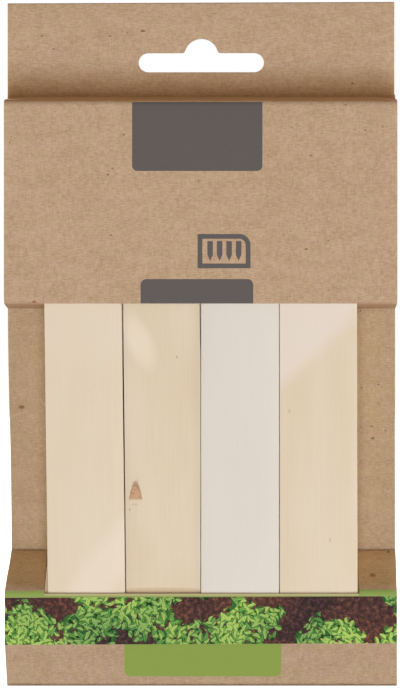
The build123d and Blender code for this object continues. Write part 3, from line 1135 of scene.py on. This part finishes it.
# Patches of another tone: x, z, half width and half height in mm and turn in degrees, then the colour,
# the strength and how soft the edge is
front_woods = [
    label_wood("birch_sanded_first", WOOD_WARM, patches=[
        ((-31, 94, 14, 12, 0), "#E1D5C3", 0.6),
        ((-25, 31, 5, 16, -35), "#E6DCCE", 0.7),
    ]),
    label_wood("birch_sanded_second", "#D6C6AC", patches=[
        ((-16.5, 90, 3, 7, 25), "#EEE4D4", 0.5),
        ((-17.4, 47.2, 0.9, 0.3, 0), KNOT_HEART, 0.3, 0.3),
        ((-18.7, 45.9, 0.3, 0.36, 0), KNOT_RIM, 0.4, 0.3),
        ((-6.4, 85.7, 0.22, 0.4, 0), PORE_BROWN, 0.6, 0.3),
        # A darker brown band across this label's foot, just above the pocket's edge
        ((-10.4, 24.4, 13, 1.1, 0), "#B4905F", 0.4, 0.3),
    ], knot=(-17.2, 48.5, 53.2, 1.75)),
    label_wood("birch_sanded_third", WOOD_GREY, "#DEDBD5"),
    label_wood("birch_sanded_fourth", WOOD_WARM, patches=[
        ((24, 94, 9.5, 34, -46), "#E4DCD4", 0.8, 0.3),
        ((22.9, 71.6, 0.3, 0.6, 0), FLECK_BROWN, 0.45, 0.4),
        ((33.5, 38.0, 0.3, 0.6, 0), FLECK_BROWN, 0.45, 0.4),
    ]),
]

# How the labels that show stand, in mm: lean, shift to the right, extra width, and thickness and length
# lost. The saw wandered too, off the left edge towards the foot and off the right edge towards the top.
SEEN_LABELS = {
    "label_1_1": {"Lean": -1.9, "shift": 0.0, "wide": 0.2, "thin": 0.06},
    "label_1_2": {
        "Lean": 0.0, "shift": -0.19, "wide": 0.31, "thin": 0.3, "Left Trim": 1.01, "Right Trim": 0.3
    },
    "label_1_3": {"Lean": 0.0, "shift": -0.15, "wide": 0.36, "thin": 0.0, "short": 0.5},
    "label_1_4": {"Lean": -0.3, "shift": -0.095, "wide": 0.21, "thin": 0.08, "Left Trim": -0.12},
    "label_2_1": {"Lean": -0.6, "shift": 0.1},
    "label_2_2": {"Lean": 0.0, "shift": 0.0, "Left Trim": 0.5},
    "label_2_3": {"Lean": 0.0, "shift": 0.28},
    "label_2_4": {"Lean": 0.0, "shift": 0.0},
    "label_3_1": {"Lean": -0.3, "shift": 0.06},
}
sawn_label = label_tree()
label_sockets = {s.name: s.identifier for s in sawn_label.interface.items_tree if s.in_out == "INPUT"}
pick = random.Random(LABEL_SEED)
for layer in range(LAYERS):
    for column in range(COLUMNS):
        node = f"label_{layer + 1}_{column + 1}"
        low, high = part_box(node)
        lean, shift, thin, short, bow = (pick.uniform(-1, 1) for _ in range(5))
        real = {
            "Lean": 0.25 * MM * lean,
            "shift": 0.06 * MM * shift,
            "wide": -0.05 * MM,
            "thin": 0.04 * MM * (1 + thin),
            "short": 0.15 * MM * (1 + short),
            "Left Trim": 0.0,
            "Right Trim": 0.0,
        }
        real.update({key: size * MM for key, size in SEEN_LABELS.get(node, {}).items()})
        label = new_object(f"wooden_{node}", bpy.data.meshes.new(f"wooden_{node}"))
        shaped = label.modifiers.new("sawn_label", "NODES")
        shaped.node_group = sawn_label
        values = {
            "Width": high.x - low.x + real["wide"],
            "Thickness": high.y - low.y - real["thin"] - LABEL_PLAY,
            "Length": high.z - low.z - real["short"],
            "Tip Length": LABEL_TIP,
            "Tip Width": LABEL_TIP_WIDTH,
            "Corner Radius": LABEL_CORNER,
            "Middle X": (low.x + high.x) / 2 + real["shift"],
            "Front Y": low.y + real["thin"],
            "Foot Z": low.z,
            "Lean": real["Lean"],
            "Bow": 0.02 * MM * bow,
            "Left Trim": real["Left Trim"],
            "Foot From": LEFT_TRIM_SHARES[0],
            "Foot To": LEFT_TRIM_SHARES[1],
            "Right Trim": real["Right Trim"],
            "Top From": RIGHT_TRIM_SHARES[0],
            "Top To": RIGHT_TRIM_SHARES[1],
            "Edge Wave": SAW_WAVE,
            "Number": float(layer * COLUMNS + column),
            "Wood": front_woods[column] if layer == 0 else stack_wood,
        }
        for name, value in values.items():
            shaped[label_sockets[name]] = value
        eased = label.modifiers.new("eased_edge", "BEVEL")
        eased.width = LABEL_EASE
        eased.segments = 2
        eased.limit_method = "ANGLE"
        eased.angle_limit = LABEL_EASE_ANGLE
        apply_modifiers(label)
        label.data.shade_smooth()
        label.data.set_sharp_from_angle(angle=SMOOTH_ANGLE)
        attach(label, node)
        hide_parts(node)

# Splinters
# Fibres torn up at the edges of the two outer front labels, rougher than the sanded faces. Their wood is
# browner and darker: partly the torn fibres' own colour, partly painted shade.
# Each is a sliver of the label's own wood, still fast at its root, that tapers and curls away.
SPLINTERS = {
    "label_1_1": (
        (-40.6, 72.6, -1.7, 0.9, 0.2), (-40.6, 72.9, -2.9, 1.3, 0.09), (-40.6, 77.1, -0.9, 0.1, 0.13),
        (-40.5, 63.3, -0.5, 0.1, 0.1), (-40.72, 23.4, 0.42, 7.4, 0.52),
    ),
    "label_1_4": (
        (40.6, 58.4, 0.5, 0.5, 0.16), (40.6, 57.9, 0.7, -0.2, 0.1), (40.5, 98.7, 0.5, 0.2, 0.12)
    ),
}
SPLINTER_STEPS = 6
SPLINTER_SIDES = (0.5, 2.6, 4.7)
SPLINTER_FLATNESS = 0.7
SPLINTER_CURL = 0.35
SPLINTER_LIFT = 0.25
SPLINTER_TAPER = 0.85
SPLINTER_DEPTH = 0.5 * MM


def splinters(name, roots):
    """Thin three-sided slivers: each root in mm, its reach across and up, and its half thickness."""
    made = bmesh.new()
    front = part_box(name)[0].y + SPLINTER_DEPTH
    for x, z, across, up, half in roots:
        beside = Vector((-up, 0, across)).normalized()
        spokes = [
            Vector((0, SPLINTER_FLATNESS * math.cos(angle), 0)) + beside * math.sin(angle)
            for angle in SPLINTER_SIDES
        ]
        rings = []
        for k in range(SPLINTER_STEPS + 1):
            share = k / SPLINTER_STEPS
            curl = SPLINTER_CURL * abs(across) * math.sin(math.pi * share)
            lifted = front / MM - SPLINTER_LIFT * share
            middle = Vector((x + across * share, lifted, z + up * share + curl))
            size = half * (1 - SPLINTER_TAPER * share)
            rings.append([made.verts.new((middle + spoke * size) * MM) for spoke in spokes])
        for near_ring, far_ring in zip(rings, rings[1:]):
            for k in range(len(spokes)):
                made.faces.new((near_ring[k], near_ring[k - 2], far_ring[k - 2], far_ring[k]))
        made.faces.new(rings[0])
        made.faces.new(rings[-1])
    mesh = outward_mesh(f"splinters_{name}", made)
    mesh.materials.append(torn_wood_painted_shade)
    piece = new_object(f"splinters_{name}", mesh)
    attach(piece, name)


for name, roots in SPLINTERS.items():
    splinters(name, roots)

# Table, light and camera
# The pack stands at the front edge of a white table. A broad soft light comes from in front and below,
# past that edge, so the ledges that face up are darker than the front.
TABLE_EDGE = FRONT_Y - 1 * MM
TABLE_REACH = 6.0
TABLE_TOP = -0.05 * MM
TABLE_WHITE = (0.8, 0.8, 0.8, 1)
TABLE_GLOW = 0.9
ROOM_LIGHT = 0.22
table_mesh = bpy.data.meshes.new("table")
corners = [
    (-TABLE_REACH, TABLE_EDGE), (TABLE_REACH, TABLE_EDGE), (TABLE_REACH, TABLE_REACH),
    (-TABLE_REACH, TABLE_REACH),
]
table_mesh.from_pydata([(x, y, TABLE_TOP) for x, y in corners], [], [(0, 1, 2, 3)])
table = new_object("table", table_mesh)


def shown_white(tree):
    """1 where a camera, glossy or transmission ray looks straight at the surroundings."""
    rays = add(tree, "LightPath")
    seen = both_areas(tree, rays.outputs["Is Camera Ray"], rays.outputs["Is Glossy Ray"], "MAXIMUM")
    return both_areas(tree, seen, rays.outputs["Is Transmission Ray"], "MAXIMUM")


white = bpy.data.materials.new("white_table")
white.use_nodes = True
tree = white.node_tree
tree.nodes.clear()
matt = add(tree, "BsdfDiffuse", {"Color": TABLE_WHITE})
lift = add(tree, "Math", [shown_white(tree), TABLE_GLOW], operation="MULTIPLY")
glow = add(tree, "Emission", {"Strength": lift})
lit = add(tree, "AddShader", [matt, glow])
add(tree, "OutputMaterial", {"Surface": lit})
table_mesh.materials.append(white)

world = bpy.data.worlds.new("studio")
bpy.context.scene.world = world
world.use_nodes = True
tree = world.node_tree
tree.nodes.clear()
level = add(tree, "MapRange", {"Value": shown_white(tree), "To Min": ROOM_LIGHT, "To Max": 1.0})
tint = add(
    tree, "Mix", {"Factor": shown_white(tree), "A": linear("#FFE0C0"), "B": (1, 1, 1, 1)}, **COLOURS
)
around = add(tree, "Background", {"Color": tint, "Strength": level})
add(tree, "OutputWorld", {"Surface": around})


def soft_box(name, place, target, width, height, power, code="#FFFFFF"):
    """A rectangular soft box that the camera doesn't see."""
    lamp = bpy.data.lights.new(name, "AREA")
    lamp.shape = "RECTANGLE"
    lamp.size = width
    lamp.size_y = height
    lamp.energy = power
    lamp.color = linear(code)[:3]
    made = new_object(name, lamp)
    made.location = place
    made.rotation_euler = (Vector(target) - Vector(place)).to_track_quat("-Z", "Y").to_euler()
    made.visible_camera = False


soft_box("key_box", (0.0, -1.95, -0.86), (0, 0, 0.09), 1.0, 1.7, 41.5)
soft_box("back_box", (-0.5, 2.0, 0.7), (0, 0, 0.09), 1.4, 1.2, 36.0)
soft_box("left_box", (-1.6, 0.1, 0.32), (0, 0, 0.05), 1.0, 0.9, 17.0, "#FFF4E8")
soft_box("right_box", (1.6, 0.1, 0.32), (0, 0, 0.05), 1.0, 0.9, 26.0, "#FFF4E8")

# The lens gives 3.84 px per mm at the pack's front, 620 mm away, in a frame 688 px high
SENSOR = 36
PIXELS_PER_MM = 3.84
CAMERA_AWAY = 620
PHOTO_HEIGHT = 688
CAMERA_PLACE = mm(-0.39, -626.675, 89.06)
camera_data = bpy.data.cameras.new("camera")
camera_data.sensor_width = SENSOR
camera_data.lens = SENSOR * PIXELS_PER_MM * CAMERA_AWAY / PHOTO_HEIGHT
camera = new_object("camera", camera_data)
camera.location = CAMERA_PLACE
camera.rotation_euler = (math.radians(90), 0, 0)
bpy.context.scene.camera = camera
bpy.context.scene.view_settings.view_transform = "Standard"
